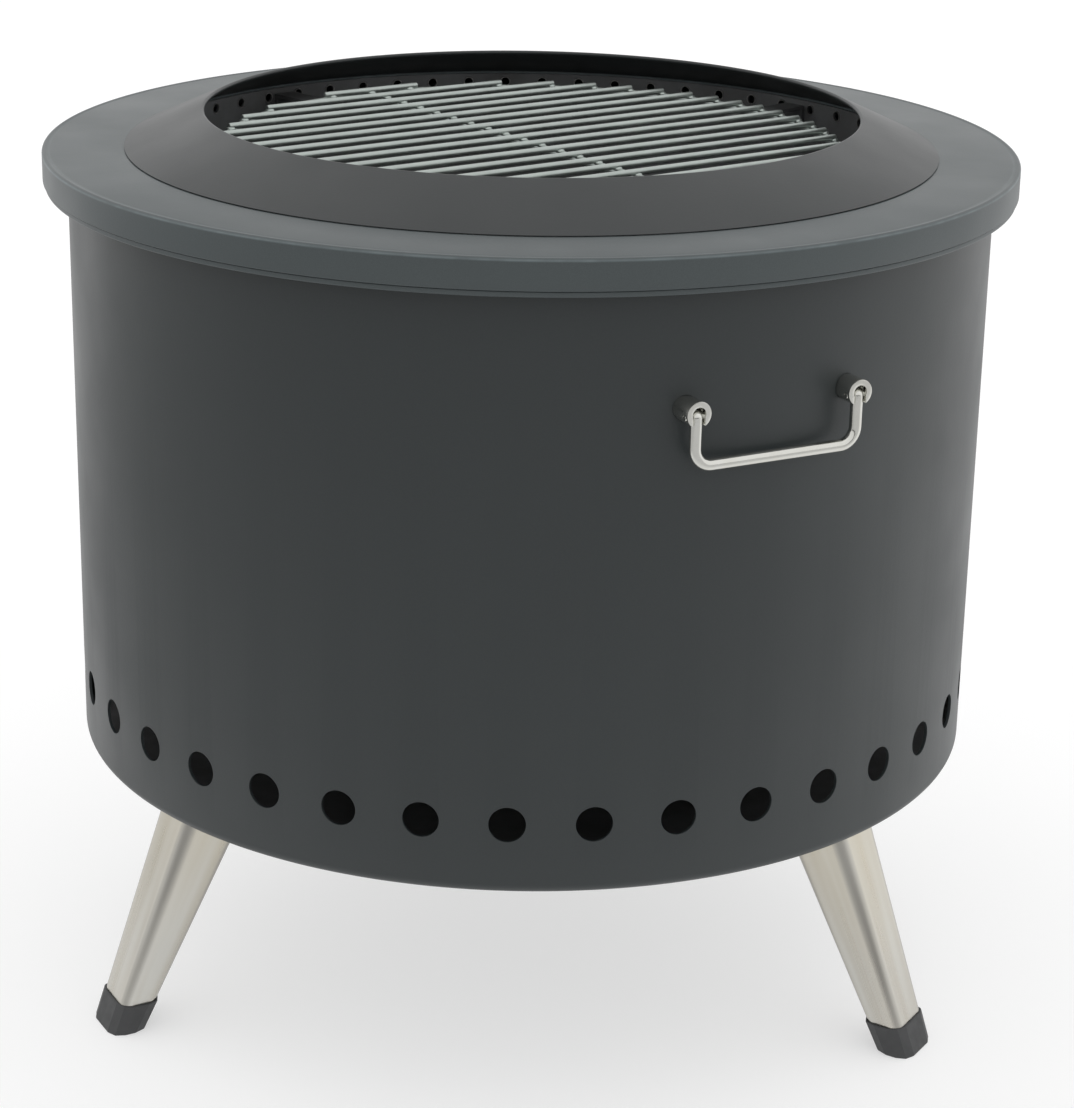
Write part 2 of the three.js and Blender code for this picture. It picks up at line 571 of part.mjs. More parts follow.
const wallClearance = upright(BARREL_R + GAP, POST_Z - POST_R - PAST, POST_Z + POST_R + PAST, FACETS);
['right', 'left'].forEach((label, i) => {
  const azimuth = HANDLE_AZIMUTHS[i];
  const wall = swing(wallClearance, -azimuth);
  for (const [mark, side] of [['a', -1], ['b', 1]]) {
    const x = (side * POST_SPACING) / 2;
    let post = outward(POST_R, chordR - PAST, postFace, 20, x, POST_Z);
    post = post.subtract(wall);
    post = post.subtract(outward(POST_BORE_R, postFace - POST_BORE_DEPTH, postFace + PAST, 20, x, POST_Z));
    post = post.subtract(box(2 * slotHalf, POST_BORE_DEPTH + PAST, POST_R + PAST, x,
      -(postFace + (PAST - POST_BORE_DEPTH) / 2), pinZ - (POST_R + PAST) / 2));
    post = post.subtract(sideways(PIN_R + BORE_SLACK, 3 * POST_R, 12, x, -pinOut, pinZ));
    post = post.subtract(outward(POST_SCREW_R + BORE_SLACK, chordR - 2 * PAST, postFace - PIN_SET_BACK, 12,
      x, POST_Z));
    addPiece(`handle_${label}_post_${mark}`, swing(post, azimuth), LOOK.polished());
    addPiece(`handle_${label}_pin_${mark}`,
      swing(sideways(PIN_R, 2 * (POST_R - PIN_SHORT), 12, x, -pinOut, pinZ), azimuth), LOOK.polished());
    const screw = outward(POST_SCREW_HEAD_R, headOut - POST_SCREW_HEAD, headOut, 12, x, POST_Z)
      .add(outward(POST_SCREW_R, headOut - POST_SCREW_HEAD / 2, screwEnd, 12, x, POST_Z));
    addPiece(`handle_${label}_screw_${mark}`, swing(screw, azimuth), LOOK.screw());
  }
  addPiece(`handle_${label}_bail`, swing(bail, azimuth), LOOK.polished());
});

export default group;
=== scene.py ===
# Garden fire pit with a lift-out grate: the looks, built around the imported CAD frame.
# Metres, +Z up, floor at z = 0, front at -Y. Azimuth 0 is the front and grows anticlockwise from above.
import json
import math

import bmesh
import bpy
from mathutils import Matrix, Vector


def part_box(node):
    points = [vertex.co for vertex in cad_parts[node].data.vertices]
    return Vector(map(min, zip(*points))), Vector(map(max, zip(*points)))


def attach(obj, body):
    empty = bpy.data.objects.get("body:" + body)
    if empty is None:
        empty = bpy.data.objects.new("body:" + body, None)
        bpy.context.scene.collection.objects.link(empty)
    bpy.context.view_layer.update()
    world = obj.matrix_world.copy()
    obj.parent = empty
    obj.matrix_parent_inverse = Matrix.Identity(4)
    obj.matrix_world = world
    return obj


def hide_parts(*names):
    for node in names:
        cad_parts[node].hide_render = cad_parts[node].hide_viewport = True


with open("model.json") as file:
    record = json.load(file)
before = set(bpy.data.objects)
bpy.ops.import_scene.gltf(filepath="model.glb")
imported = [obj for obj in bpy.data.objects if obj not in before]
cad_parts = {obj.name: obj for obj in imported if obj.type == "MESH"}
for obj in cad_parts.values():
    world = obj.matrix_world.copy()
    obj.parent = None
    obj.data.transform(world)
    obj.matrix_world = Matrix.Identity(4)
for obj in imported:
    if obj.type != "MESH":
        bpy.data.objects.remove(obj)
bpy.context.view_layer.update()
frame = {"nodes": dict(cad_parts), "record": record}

# ---- sizes read from the frame --------------------------------------------------------------------
MM = 0.001
SHELL_LOW, SHELL_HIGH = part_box("outer_shell")
RING_LOW, RING_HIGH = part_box("top_ring")
COLLAR_LOW, COLLAR_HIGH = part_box("flame_collar")
WALL_LOW, WALL_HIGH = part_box("chamber_wall")
GRATE_LOW, GRATE_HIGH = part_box("cooking_grate")
FIRE_LOW, FIRE_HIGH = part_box("fire_grate")
PAN_LOW, PAN_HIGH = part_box("ash_pan")
LEG_LOW, LEG_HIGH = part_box("leg_3")
CAP_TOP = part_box("foot_cap_3")[1].z
JOINTS = {joint["name"]: joint for joint in frame["record"]["behaviour"]["joints"]}

# ---- sizes that the boxes don't show ---------------------------------------------------------------
SHEET = 1.6 * MM
ROUND = 240                      # facets round everything concentric with the barrel
EDGE_R = 6 * MM                  # rounded lower edge of the barrel
LIP_WIDTH = 14 * MM
VENTS = 36
VENT_R = 10 * MM
VENT_RISE = 40.7 * MM            # vent axes above the barrel's underside
CUT_PAST = 6 * MM                # how far a cutter runs past the wall it cuts
RING_SHEET = 2 * MM
SKIRT_DEPTH = 16.7 * MM          # face of the ring's skirt above its folded hem
HEM_INSET = 1.2 * MM
EDGE_BEAD_R = 1.7 * MM           # bead round the ring's outer top edge
BEAD_GROOVE = 2.5 * MM           # its shallow groove, from the bead's centre inwards
HEM_EDGE_R = 1.0 * MM
RING_INNER_R = 231.3 * MM
SPIGOT_R = 259.4 * MM
SPIGOT_DEPTH = 12 * MM
MOUTH_R = 188 * MM
MOUTH_LIP_R = 1.3 * MM
AIR_HOLES = 60
AIR_HOLE_R = 2.75 * MM
AIR_HOLE_DROP = 6.5 * MM         # below the ring's top face
BURR_R = 0.4 * MM                # bright punched edge round each air hole
BAR_R = 1.85 * MM
WIRE_R = 2.5 * MM
BAR_PITCH = 18.5 * MM
BAR_PAIRS = 10
BAR_END_ROUND = 0.8 * MM
BAR_PAST_HOOP = 1 * MM
WELD_R, WELD_HEIGHT = 3.0 * MM, 1.5 * MM
FIRE_HOLE_R = 5 * MM
FIRE_HOLE_ROWS = 3
FIRE_HOLE_PITCH = 31 * MM
FIRE_EDGE_R = 0.8 * MM
PAN_SHEET = 1.2 * MM
PAN_RIM = 3 * MM
PAN_CORNER_R = 6 * MM
PAN_HEM_R = 1 * MM
BAR_TURN = 36.5                  # degrees from +X
LEG_AZIMUTHS = {"leg_1": -60, "leg_2": 60, "leg_3": 180}
FOOT_R = 268.4 * MM              # leg axis from the barrel axis, at the floor
LEG_SPLAY = 0.44
FOOT_WIDTH, FOOT_DEPTH = 33 * MM, 20 * MM
TOP_WIDTH, TOP_DEPTH = 46.5 * MM, 43 * MM
LEG_CORNER = 0.21                # corner radius as a share of the width
LEG_WALL = 1.8 * MM
LEG_LEVELS = 8
CAP_GROW = 1.6 * MM
CAP_FLOOR = 2.7 * MM
CAP_PLAY = 0.3 * MM
HANDLES = {"right": 29.5, "left": 209.5}
POST_SPACING = 97 * MM
POST_R = 7.0 * MM
POST_LENGTH = 14 * MM
POST_BORE_R = 4 * MM
POST_BORE_DEPTH = 8 * MM
PIN_R = 1.5 * MM
PIN_SET_BACK = 3.2 * MM
PIN_LOW = 1.75 * MM
PIN_PROUD = 0.15 * MM
PIN_PLAY = 0.3 * MM
POST_SUNK = 8 * MM               # post taken this far into the barrel before it is trimmed
POST_EDGE = 0.35 * MM
ROD_R = 3.25 * MM
SLOT_PLAY = 0.4 * MM
BAIL_DROP = 26.5 * MM
BAIL_BEND_R = 9.5 * MM
NODE_EDGE = 0.3 * MM


# ---- mesh helpers ------------------------------------------------------------------------------------
def new_object(name, mesh):
    piece = bpy.data.objects.new(name, mesh)
    bpy.context.scene.collection.objects.link(piece)
    return piece


def arc(centre_r, centre_z, radius, start, stop, steps):
    """Profile points [r, z] on an arc, from start to stop degrees."""
    points = []
    for i in range(steps + 1):
        angle = math.radians(start + (stop - start) * i / steps)
        points.append((centre_r + radius * math.cos(angle), centre_z + radius * math.sin(angle)))
    return points


def lathe(name, profile, facets=ROUND):
    """Closed solid: the closed profile of (radius, height) points turned round Z."""
    verts, faces = [], []
    count = len(profile)
    for i in range(facets):
        angle = 2 * math.pi * i / facets
        for radius, height in profile:
            verts.append((radius * math.sin(angle), -radius * math.cos(angle), height))
    for i in range(facets):
        here, there = i * count, ((i + 1) % facets) * count
        for k in range(count):
            after = (k + 1) % count
            faces.append((here + k, there + k, there + after, here + after))
    mesh = bpy.data.meshes.new(name)
    mesh.from_pydata(verts, [], faces)
    return clean(new_object(name, mesh))


def clean(piece, angle=35):
    """Merges doubles, turns the faces outwards, shades smooth and keeps the hard edges."""
    work = bmesh.new()
    work.from_mesh(piece.data)
    bmesh.ops.remove_doubles(work, verts=work.verts, dist=1e-6)
    bmesh.ops.recalc_face_normals(work, faces=work.faces)
    work.to_mesh(piece.data)
    work.free()
    piece.data.shade_smooth()
    piece.data.set_sharp_from_angle(angle=math.radians(angle))
    return piece


def rod(name, start, stop, radius, sides=20, rounding=0.0):
    """Closed round bar between two points, with both ends rounded over when a rounding is given."""
    start, stop = Vector(start), Vector(stop)
    length = (stop - start).length
    profile = [(0.0, 0.0)]
    if rounding > 0:
        profile += arc(radius - rounding, rounding, rounding, -90, 0, 4)
        profile += arc(radius - rounding, length - rounding, rounding, 0, 90, 4)
    else:
        profile += [(radius, 0.0), (radius, length)]
    profile.append((0.0, length))
    piece = lathe(name, profile, sides)
    turn = (stop - start).to_track_quat("Z", "Y").to_matrix().to_4x4()
    piece.data.transform(Matrix.Translation(start) @ turn)
    return piece


def torus(name, radius, wire, height, facets=180, sides=16):
    return lathe(name, arc(radius, height, wire, 0, 360 * (sides - 1) / sides, sides - 1), facets)


def block(name, low, high):
    work = bmesh.new()
    bmesh.ops.create_cube(work, size=1.0)
    size = Vector(high) - Vector(low)
    middle = (Vector(high) + Vector(low)) / 2
    bmesh.ops.scale(work, vec=size, verts=work.verts)
    bmesh.ops.translate(work, vec=middle, verts=work.verts)
    mesh = bpy.data.meshes.new(name)
    work.to_mesh(mesh)
    work.free()
    return new_object(name, mesh)


def turn_to(piece, azimuth):
    """Turns a piece made at the front round to its azimuth."""
    piece.data.transform(Matrix.Rotation(math.radians(azimuth), 4, "Z"))
    return piece


def join(name, parts):
    """One mesh that holds every part, each still a closed solid of its own."""
    work = bmesh.new()
    for part in parts:
        work.from_mesh(part.data)
    mesh = bpy.data.meshes.new(name)
    work.to_mesh(mesh)
    work.free()
    for part in parts:
        bpy.data.objects.remove(part)
    return clean(new_object(name, mesh))


def apply_modifiers(piece):
    shaped = piece.evaluated_get(bpy.context.evaluated_depsgraph_get())
    mesh = bpy.data.meshes.new_from_object(shaped)
    piece.modifiers.clear()
    piece.data = mesh
    return piece


def boolean(piece, tool):
    """Cuts the tool out of the piece and removes the tool."""
    step = piece.modifiers.new("cut", "BOOLEAN")
    step.operation = "DIFFERENCE"
    step.solver = "EXACT"
    step.use_self = True
    step.object = tool
    bpy.context.view_layer.update()
    apply_modifiers(piece)
    bpy.data.objects.remove(tool)
    return clean(piece)


def soften(piece, width):
    """Rounds the hard edges over."""
    step = piece.modifiers.new("soften", "BEVEL")
    step.width = width
    step.segments = 2
    step.limit_method = "ANGLE"
    step.angle_limit = math.radians(40)
    step.harden_normals = False
    bpy.context.view_layer.update()
    apply_modifiers(piece)
    return clean(piece, 60)


def finish_piece(piece, body, slot, material, *nodes):
    """Gives a piece its material and its body, and hides the CAD nodes that it stands for."""
    piece.data.materials.clear()
    piece.data.materials.append(material)
    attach(piece, body)
    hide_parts(*nodes)
    return piece


# ---- materials ---------------------------------------------------------------------------------------
class Nodes:
    """A short way to build a node material."""

    def __init__(self, name):
        self.material = bpy.data.materials.new(name)
        self.material.use_nodes = True
        self.tree = self.material.node_tree
        self.shader = self.tree.nodes["Principled BSDF"]
        self.place = self.tree.nodes.new("ShaderNodeTexCoord").outputs["Object"]

    def link(self, source, target):
        self.tree.links.new(source, target)

    def stretched(self, scale, place=None):
        node = self.tree.nodes.new("ShaderNodeMapping")
        node.inputs["Scale"].default_value = scale
        self.link(place or self.place, node.inputs["Vector"])
        return node.outputs["Vector"]

    def noise(self, scale, detail=4.0, rough=0.5, place=None):
        node = self.tree.nodes.new("ShaderNodeTexNoise")
        node.inputs["Scale"].default_value = scale
        node.inputs["Detail"].default_value = detail
        node.inputs["Roughness"].default_value = rough
        self.link(place or self.place, node.inputs["Vector"])
        return node.outputs["Fac"]

    def cells(self, scale):
        node = self.tree.nodes.new("ShaderNodeTexVoronoi")
        node.inputs["Scale"].default_value = scale
        self.link(self.place, node.inputs["Vector"])
        return node.outputs["Color"]

    def ramp(self, source, low, high, start=0.3, stop=0.7):
        node = self.tree.nodes.new("ShaderNodeValToRGB")
        node.color_ramp.elements[0].position = start
        node.color_ramp.elements[0].color = low
        node.color_ramp.elements[1].position = stop
        node.color_ramp.elements[1].color = high
        self.link(source, node.inputs["Fac"])
        return node.outputs["Color"]

    def span(self, source, low, high, start=0.3, stop=0.7):
        node = self.tree.nodes.new("ShaderNodeMapRange")
        node.inputs["From Min"].default_value = start
        node.inputs["From Max"].default_value = stop
        node.inputs["To Min"].default_value = low
        node.inputs["To Max"].default_value = high
        self.link(source, node.inputs["Value"])
        return node.outputs["Result"]

    def mix(self, share, first, second):
        node = self.tree.nodes.new("ShaderNodeMix")
        node.data_type = "RGBA"
        self.link(share, node.inputs["Factor"])
        self.link(first, node.inputs[6])
        self.link(second, node.inputs[7])
        return node.outputs[2]

    def bump(self, source, strength, distance, under=None):
        node = self.tree.nodes.new("ShaderNodeBump")
        node.inputs["Strength"].default_value = strength
        node.inputs["Distance"].default_value = distance
        self.link(source, node.inputs["Height"])
        if under is not None:
            self.link(under, node.inputs["Normal"])
        return node.outputs["Normal"]

    def colour(self, source):
        self.link(source, self.shader.inputs["Base Color"])

    def roughness(self, source):
        self.link(source, self.shader.inputs["Roughness"])

    def normal(self, source):
        self.link(source, self.shader.inputs["Normal"])

    def set(self, **values):
        for key, value in values.items():
            self.shader.inputs[key.replace("_", " ")].default_value = value


def grey(level, red=1.0, green=1.0, blue=1.0):
    return (level * red, level * green, level * blue, 1.0)


def powder_coat(name, level, rough, edge=None):
    """Satin charcoal powder coat: orange-peel bump, fine flecks, faint cloudiness, and a thin
    painted highlight line round the edge at the given height."""
    look = Nodes(name)

    def coat(share):
        return grey(level * share, 0.82, 1.0, 1.04)

    cloud = look.ramp(look.noise(6.0, 3.0), coat(0.93), coat(1.07))
    fleck = look.ramp(look.noise(1700.0, 2.0, 0.6), coat(0.8), coat(1.25), 0.35, 0.7)
    tone = look.mix(look.span(look.noise(40.0, 2.0), 0.25, 0.45), cloud, fleck)
    if edge is not None:
        # painted highlight: a thin lighter line in the colour round the edge, standing in for the edge
        # catching the light
        height = look.tree.nodes.new("ShaderNodeSeparateXYZ")
        look.link(look.place, height.inputs["Vector"])
        painted_highlight = look.tree.nodes.new("ShaderNodeValToRGB")
        painted_highlight.color_ramp.elements[0].color = grey(0.0)
        painted_highlight.color_ramp.elements[1].color = grey(0.0)
        painted_highlight.color_ramp.elements[1].position = 1.0
        painted_highlight.color_ramp.elements.new(0.5).color = grey(1.0)
        band = look.span(height.outputs["Z"], 0.0, 1.0, edge - 0.9 * MM, edge + 0.9 * MM)
        look.link(band, painted_highlight.inputs["Fac"])
        tone = look.mix(painted_highlight.outputs["Color"], tone, look.ramp(look.noise(90.0, 3.0), coat(1.7), coat(2.6)))
    look.colour(tone)
    look.roughness(look.span(look.noise(14.0, 4.0), rough - 0.03, rough + 0.05))
    peel = look.bump(look.noise(620.0, 2.0, 0.45), 0.10, 0.0003)
    look.normal(look.bump(look.noise(2600.0, 1.0), 0.06, 0.0001, peel))
    look.set(Metallic=0.0, IOR=1.5)
    return look.material


def burnt_coat(name, level):
    """Low-sheen black heat-resistant coat with dusty soot patches."""
    look = Nodes(name)
    dusty = grey(level * 1.35, 0.96, 1.0, 1.02)
    look.colour(look.ramp(look.noise(22.0, 5.0, 0.6), grey(level * 0.75), dusty, 0.35, 0.75))
    look.roughness(look.span(look.noise(60.0, 4.0), 0.30, 0.46))
    look.normal(look.bump(look.noise(700.0, 3.0, 0.6), 0.12, 0.0003))
    look.set(Metallic=0.0)
    return look.material


def satin_steel(name, level, warmth, rough, grain):
    """Satin steel with a fine even grain and faint cloudy reflections."""
    look = Nodes(name)
    grain_lines = look.noise(1.0, 3.0, 0.6, look.stretched((grain, grain, grain)))
    cloud = look.noise(18.0, 3.0)
    low = grey(level * 0.9, 1.0 + warmth, 1.0, 1.0 - warmth)
    high = grey(level * 1.08, 1.0 + warmth, 1.0, 1.0 - warmth)
    lined, clouded = look.ramp(grain_lines, low, high), look.ramp(cloud, low, high)
    look.colour(look.mix(look.span(cloud, 0.2, 0.8), lined, clouded))
    look.roughness(look.span(grain_lines, rough - 0.05, rough + 0.07))
    look.normal(look.bump(grain_lines, 0.05, 0.0001))
    look.set(Metallic=1.0)
    return look.material


def leg_satin(name):
    """Satin stainless drawn along the leg: soft bands, a straw tint near the top, painted dark reflection at
    the corners.
    """
    look = Nodes(name)
    place = look.tree.nodes.new("ShaderNodeAttribute")
    place.attribute_name = "grain"
    along = place.outputs["Vector"]
    fine = look.noise(1.0, 3.0, 0.6, look.stretched((1500.0, 1500.0, 30.0), along))
    bands = look.noise(1.0, 2.0, 0.5, look.stretched((70.0, 70.0, 6.0), along))
    plain = look.ramp(bands, grey(0.48, 1.05, 1.0, 0.90), grey(0.60, 1.01, 1.0, 0.94))
    straw = look.ramp(bands, grey(0.50, 1.12, 1.01, 0.76), grey(0.60, 1.06, 1.0, 0.86))
    split = look.tree.nodes.new("ShaderNodeSeparateXYZ")
    look.link(along, split.inputs["Vector"])
    heat = look.span(split.outputs["Z"], 0.1, 0.8, 0.05, 0.15)
    # painted dark reflection: darker colour along the leg's corners, standing in for the dark surround they
    # reflect
    corner = look.tree.nodes.new("ShaderNodeVectorMath")
    corner.operation = "ABSOLUTE"
    look.link(look.stretched((1 / TOP_WIDTH, 1 / TOP_DEPTH, 0.0), along), corner.inputs[0])
    reach = look.tree.nodes.new("ShaderNodeVectorMath")
    reach.operation = "DOT_PRODUCT"
    reach.inputs[1].default_value = (1.0, 1.0, 0.0)
    look.link(corner.outputs["Vector"], reach.inputs[0])
    corner_dark_reflection = look.span(reach.outputs["Value"], 0.0, 1.0, 0.80, 0.86)
    dark_reflection_tone = look.ramp(bands, grey(0.29, 1.05, 1.0, 0.90), grey(0.42, 1.03, 1.0, 0.92))
    look.colour(look.mix(corner_dark_reflection, look.mix(heat, plain, straw), dark_reflection_tone))
    look.roughness(look.span(bands, 0.24, 0.36))
    look.normal(look.bump(fine, 0.03, 0.0001))
    look.set(Metallic=1.0)
    return look.material


def polished_steel(name, level):
    """Polished stainless with hairline rub marks."""
    look = Nodes(name)
    rub = look.noise(1.0, 3.0, 0.7, look.stretched((260.0, 2600.0, 900.0)))
    low = grey(level * 0.93, 1.01, 1.0, 0.93)
    high = grey(level, 1.0, 1.0, 0.95)
    look.colour(look.ramp(look.noise(90.0, 3.0), low, high))
    look.roughness(look.span(rub, 0.10, 0.2))
    look.normal(look.bump(rub, 0.02, 0.00005))
    look.set(Metallic=1.0)
    return look.material


def plated_wire(name, level):
    """Dull plated wire, a little green-grey, with drawn lines and duller patches."""
    look = Nodes(name)
    dark_reflection_tone = look.noise(45.0, 4.0, 0.6)
    look.colour(look.ramp(dark_reflection_tone, grey(level * 0.86, 0.93, 1.02, 0.97), grey(level * 1.08, 0.93, 1.02, 0.97)))
    look.roughness(look.span(dark_reflection_tone, 0.3, 0.5))
    look.normal(look.bump(look.noise(1400.0, 2.0), 0.05, 0.0001))
    look.set(Metallic=0.85)
    return look.material


def moulded_plastic(name, level):
    """Matt dark plastic with a fine spark-eroded texture."""
    look = Nodes(name)
    low = grey(level * 0.9, 0.98, 1.0, 1.03)
    high = grey(level * 1.12, 0.98, 1.0, 1.03)
    look.colour(look.ramp(look.noise(35.0, 3.0), low, high))
    look.roughness(look.span(look.noise(200.0, 2.0), 0.55, 0.68))
    look.normal(look.bump(look.noise(1500.0, 2.0, 0.6), 0.18, 0.0002))
    look.set(Metallic=0.0)
    return look.material


def spangled_steel(name, level):
    """Galvanised sheet with a faint crystal pattern."""
    look = Nodes(name)
    spangle = look.cells(160.0)
    look.colour(look.ramp(spangle, grey(level * 0.85), grey(level * 1.1), 0.2, 0.8))
    look.roughness(look.span(spangle, 0.38, 0.55, 0.0, 1.0))
    look.normal(look.bump(look.noise(500.0, 2.0), 0.06, 0.0002))
    look.set(Metallic=0.9)
    return look.material


BARREL_COAT = powder_coat("barrel_coat", 0.031, 0.42)
# the ring coat has a painted highlight line along the bead round its outer top edge
RING_COAT = powder_coat("ring_coat", 0.074, 0.42, RING_HIGH.z - 1.0 * MM)
COLLAR_COAT = powder_coat("collar_coat", 0.020, 0.40)
CHAMBER_COAT = burnt_coat("chamber_coat", 0.15)
LEG_STEEL = leg_satin("leg_steel")
PLATE_STEEL = satin_steel("leg_plate_steel", 0.50, 0.02, 0.34, 900.0)
HANDLE_STEEL = polished_steel("handle_steel", 0.68)
SCREW_STEEL = satin_steel("screw_steel", 0.45, 0.0, 0.34, 1500.0)
GRATE_WIRE = plated_wire("grate_wire", 0.48)
FOOT_PLASTIC = moulded_plastic("foot_plastic", 0.045)
PAN_STEEL = spangled_steel("pan_steel", 0.35)


# ---- barrel ------------------------------------------------------------------------------------------
def hole_cutters(inner, outer, height, radius, sides, count):
    """Evenly spaced round cutters through a wall, as one object."""
    start, stop = (0, CUT_PAST - inner, height), (0, -(outer + CUT_PAST), height)
    cutters = []
    for i in range(count):
        cutters.append(turn_to(rod("cutter", start, stop, radius, sides), 360 * i / count))
    return join("cutters", cutters)


def barrel_shell():
    outer, top, bottom = SHELL_HIGH.x, SHELL_HIGH.z, SHELL_LOW.z
    inner = outer - SHEET
    chamfer = 0.4 * MM
    centre_r, centre_z = outer - EDGE_R, bottom + EDGE_R
    profile = [(outer - LIP_WIDTH, bottom)]
    profile += arc(centre_r, centre_z, EDGE_R, -90, 0, 8)
    profile += [(outer, top - chamfer), (outer - chamfer, top), (inner, top)]
    profile += arc(centre_r, centre_z, EDGE_R - SHEET, 0, -90, 8)
    profile += [(outer - LIP_WIDTH, bottom + SHEET)]
    shell = lathe("barrel_shell", profile)
    height = bottom + VENT_RISE
    boolean(shell, hole_cutters(inner, outer, height, VENT_R, 48, VENTS))
    return finish_piece(shell, "pit_body", "barrel_coat", BARREL_COAT, "outer_shell")


def top_ring():
    """Flat ring with a bead round its edge, a skirt, a folded hem and a locating wall underneath."""
    outer, top, bottom = RING_HIGH.x, RING_HIGH.z, RING_LOW.z
    under = top - RING_SHEET
    skirt_end = top - SKIRT_DEPTH
    skirt_edge_r = 0.6 * MM
    hem_r = outer - HEM_INSET
    hem_in = hem_r - RING_SHEET
    hem_top_r = 0.9 * MM
    groove = 0.35 * MM
    bead_r = outer - EDGE_BEAD_R
    profile = [(RING_INNER_R, under), (RING_INNER_R, top)]
    profile += [(bead_r - BEAD_GROOVE - 1 * MM, top), (bead_r - BEAD_GROOVE, top - groove)]
    profile += arc(bead_r, top - EDGE_BEAD_R + 0.15 * MM, EDGE_BEAD_R, 120, 0, 8)
    profile += arc(outer - skirt_edge_r, skirt_end + skirt_edge_r, skirt_edge_r, 0, -90, 4)
    profile += [(hem_r - 0.5 * MM, skirt_end), (hem_r - 0.5 * MM, skirt_end - 0.3 * MM)]
    profile += arc(hem_r - hem_top_r, skirt_end - 1.1 * MM, hem_top_r, 60, 0, 3)
    profile += arc(hem_r - HEM_EDGE_R, bottom + HEM_EDGE_R, HEM_EDGE_R, 0, -180, 8)
    profile += [(hem_in, skirt_end), (hem_in, under)]
    profile += [(SPIGOT_R, under), (SPIGOT_R, under - SPIGOT_DEPTH)]
    profile += [(SPIGOT_R - SHEET, under - SPIGOT_DEPTH), (SPIGOT_R - SHEET, under)]
    return finish_piece(lathe("top_ring_skin", profile), "lift_off_top", "ring_coat", RING_COAT, "top_ring")


def flame_collar():
    """Cone of sheet with a rolled lip round its mouth."""
    base_r, bottom, top = COLLAR_HIGH.x, COLLAR_LOW.z, COLLAR_HIGH.z
    run, rise = base_r - MOUTH_R, top - bottom
    thick = SHEET * math.hypot(run, rise) / rise
    profile = [(base_r - thick, bottom), (base_r - 0.5 * MM, bottom), (base_r, bottom + 0.3 * MM)]
    profile += arc(MOUTH_R + MOUTH_LIP_R, top - MOUTH_LIP_R, MOUTH_LIP_R, 64, 190, 9)
    profile += [(MOUTH_R + 0.9 * MM, top - 2.7 * MM)]
    collar = lathe("flame_collar_skin", profile)
    return finish_piece(collar, "lift_off_top", "collar_coat", COLLAR_COAT, "flame_collar")


def chamber_wall():
    """Inner wall with its row of air holes, each with a bright punched edge."""
    outer, top, bottom = WALL_HIGH.x, WALL_HIGH.z, WALL_LOW.z
    inner = outer - SHEET
    wall = lathe("burn_chamber_wall", [(inner, bottom), (outer, bottom), (outer, top), (inner, top)])
    height = RING_HIGH.z - AIR_HOLE_DROP
    boolean(wall, hole_cutters(inner, outer, height, AIR_HOLE_R, 20, AIR_HOLES))
    finish_piece(wall, "pit_body", "chamber_coat", CHAMBER_COAT, "chamber_wall")
    lay_down = Matrix.Rotation(math.pi / 2, 4, "X")
    to_hole = Matrix.Translation((0, -(inner - 0.1 * MM), height))
    burrs = []
    for i in range(AIR_HOLES):
        burr = torus("burr", AIR_HOLE_R + BURR_R / 2, BURR_R, 0.0, 20, 6)
        burr.data.transform(to_hole @ lay_down)
        burrs.append(turn_to(burr, 360 * i / AIR_HOLES))
    finish_piece(join("air_hole_edges", burrs), "pit_body", "chamber_coat", PLATE_STEEL, "chamber_wall")


# ---- grates and pan ----------------------------------------------------------------------------------
def weld_bead(x, y, z):
    """Small flattened bead where two wires are welded."""
    work = bmesh.new()
    bmesh.ops.create_icosphere(work, subdivisions=2, radius=1.0)
    bmesh.ops.scale(work, vec=(WELD_R, WELD_R, WELD_HEIGHT), verts=work.verts)
    bmesh.ops.translate(work, vec=(x, y, z), verts=work.verts)
    mesh = bpy.data.meshes.new("bead")
    work.to_mesh(mesh)
    work.free()
    return new_object("bead", mesh)


def cooking_grate():
    ring_r = GRATE_HIGH.x - WIRE_R
    bar_z = GRATE_HIGH.z - BAR_R
    wire_z = GRATE_LOW.z + WIRE_R
    weld_z = (bar_z - BAR_R + wire_z + WIRE_R) / 2
    parts = [torus("hoop", ring_r, WIRE_R, wire_z)]
    parts.append(rod("cross", (0, -ring_r, wire_z), (0, ring_r, wire_z), WIRE_R, 16))
    reach = ring_r + BAR_PAST_HOOP
    for i in range(2 * BAR_PAIRS):
        offset = (i - BAR_PAIRS + 0.5) * BAR_PITCH
        half = math.sqrt(reach**2 - offset**2)
        parts.append(rod("bar", (-half, offset, bar_z), (half, offset, bar_z), BAR_R, 16, BAR_END_ROUND))
        parts.append(weld_bead(0, offset, weld_z))
        rim = math.sqrt(ring_r**2 - offset**2)
        for side in (-1, 1):
            parts.append(weld_bead(side * rim, offset, weld_z))
    grate = turn_to(join("cooking_grate_wires", parts), BAR_TURN)
    return finish_piece(grate, "grate_body", "grate_wire", GRATE_WIRE, "cooking_grate")


def fire_grate():
    """Flat plate with one middle hole and rings of six, twelve and eighteen."""
    radius, bottom, top = FIRE_HIGH.x, FIRE_LOW.z, FIRE_HIGH.z
    profile = [(0.0, bottom)]
    profile += arc(radius - FIRE_EDGE_R, bottom + FIRE_EDGE_R, FIRE_EDGE_R, -90, 0, 3)
    profile += arc(radius - FIRE_EDGE_R, top - FIRE_EDGE_R, FIRE_EDGE_R, 0, 90, 3)
    profile += [(0.0, top)]
    plate = lathe("fire_grate_plate", profile, 120)
    below, above = bottom - CUT_PAST, top + CUT_PAST
    cutters = [rod("cutter", (0, 0, below), (0, 0, above), FIRE_HOLE_R, 24)]
    for row in range(1, FIRE_HOLE_ROWS + 1):
        for i in range(6 * row):
            reach = -row * FIRE_HOLE_PITCH
            cutter = rod("cutter", (0, reach, below), (0, reach, above), FIRE_HOLE_R, 24)
            cutters.append(turn_to(cutter, 60 * i / row))
    boolean(plate, join("cutters", cutters))
    return finish_piece(plate, "fire_plate", "chamber_coat", CHAMBER_COAT, "fire_grate")


